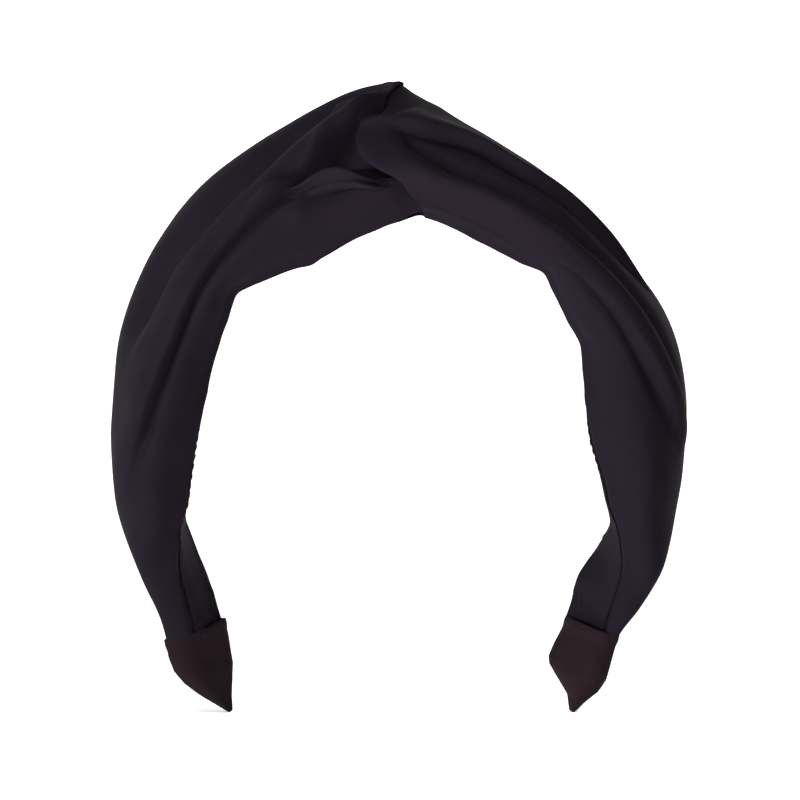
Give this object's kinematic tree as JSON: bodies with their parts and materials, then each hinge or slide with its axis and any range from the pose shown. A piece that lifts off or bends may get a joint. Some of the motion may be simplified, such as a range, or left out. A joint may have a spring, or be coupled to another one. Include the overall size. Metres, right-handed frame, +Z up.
{
  "type": "twist-knot headband",
  "caption": "Padded fabric-covered hoop headband with an interlocked twist knot at the crown and pointed end sleeves, springing open to grip the head.",
  "frame": {"origin": "centre of the footprint, on the plane that both tips stand on", "axes": "+Z up from the tips to the crown, X across the head from one arm to the other (-X is the wearer's right when the band faces forward), Y across the band's width, -Y the front edge"},
  "size_m": [0.1538, 0.0476, 0.1694],
  "materials": {
    "satin": "matt satin weave, soft folds, near-black violet navy",
    "lining": "flat matt satin strip",
    "foam": "soft open-cell foam, hidden",
    "core": "springy moulded plastic strip, hidden",
    "suede": "dull brushed cloth, warmer black",
    "thread": "twisted sewing thread"
  },
  "bodies": {
    "crown": {"core_crown": "core", "lining_crown": "lining", "foam_crown": "foam", "cover_crown_left": "satin", "cover_crown_right": "satin", "knot_left_upper": "satin", "knot_right": "satin", "knot_left_lower": "satin", "knot_tack": "thread"},
    "left_arm": {"core_left_arm": "core", "lining_left_arm": "lining", "foam_left_arm": "foam", "cover_left_arm": "satin", "end_sleeve_left": "suede", "sleeve_stitches_left": "thread"},
    "right_arm": {"core_right_arm": "core", "lining_right_arm": "lining", "foam_right_arm": "foam", "cover_right_arm": "satin", "end_sleeve_right": "suede", "sleeve_stitches_right": "thread"}
  },
  "joints": [
    {"name": "left_arm_flex", "type": "hinge", "parent": "crown", "child": "left_arm", "pos_m": [-0.0377, 0, 0.1301], "axis": [0, 1, 0], "range_deg": [-4, 13], "stiffness_Nm_per_rad": 1.7},
    {"name": "right_arm_flex", "type": "hinge", "parent": "crown", "child": "right_arm", "pos_m": [0.0377, 0, 0.1301], "axis": [0, -1, 0], "range_deg": [-4, 13], "stiffness_Nm_per_rad": 1.7}
  ]
}
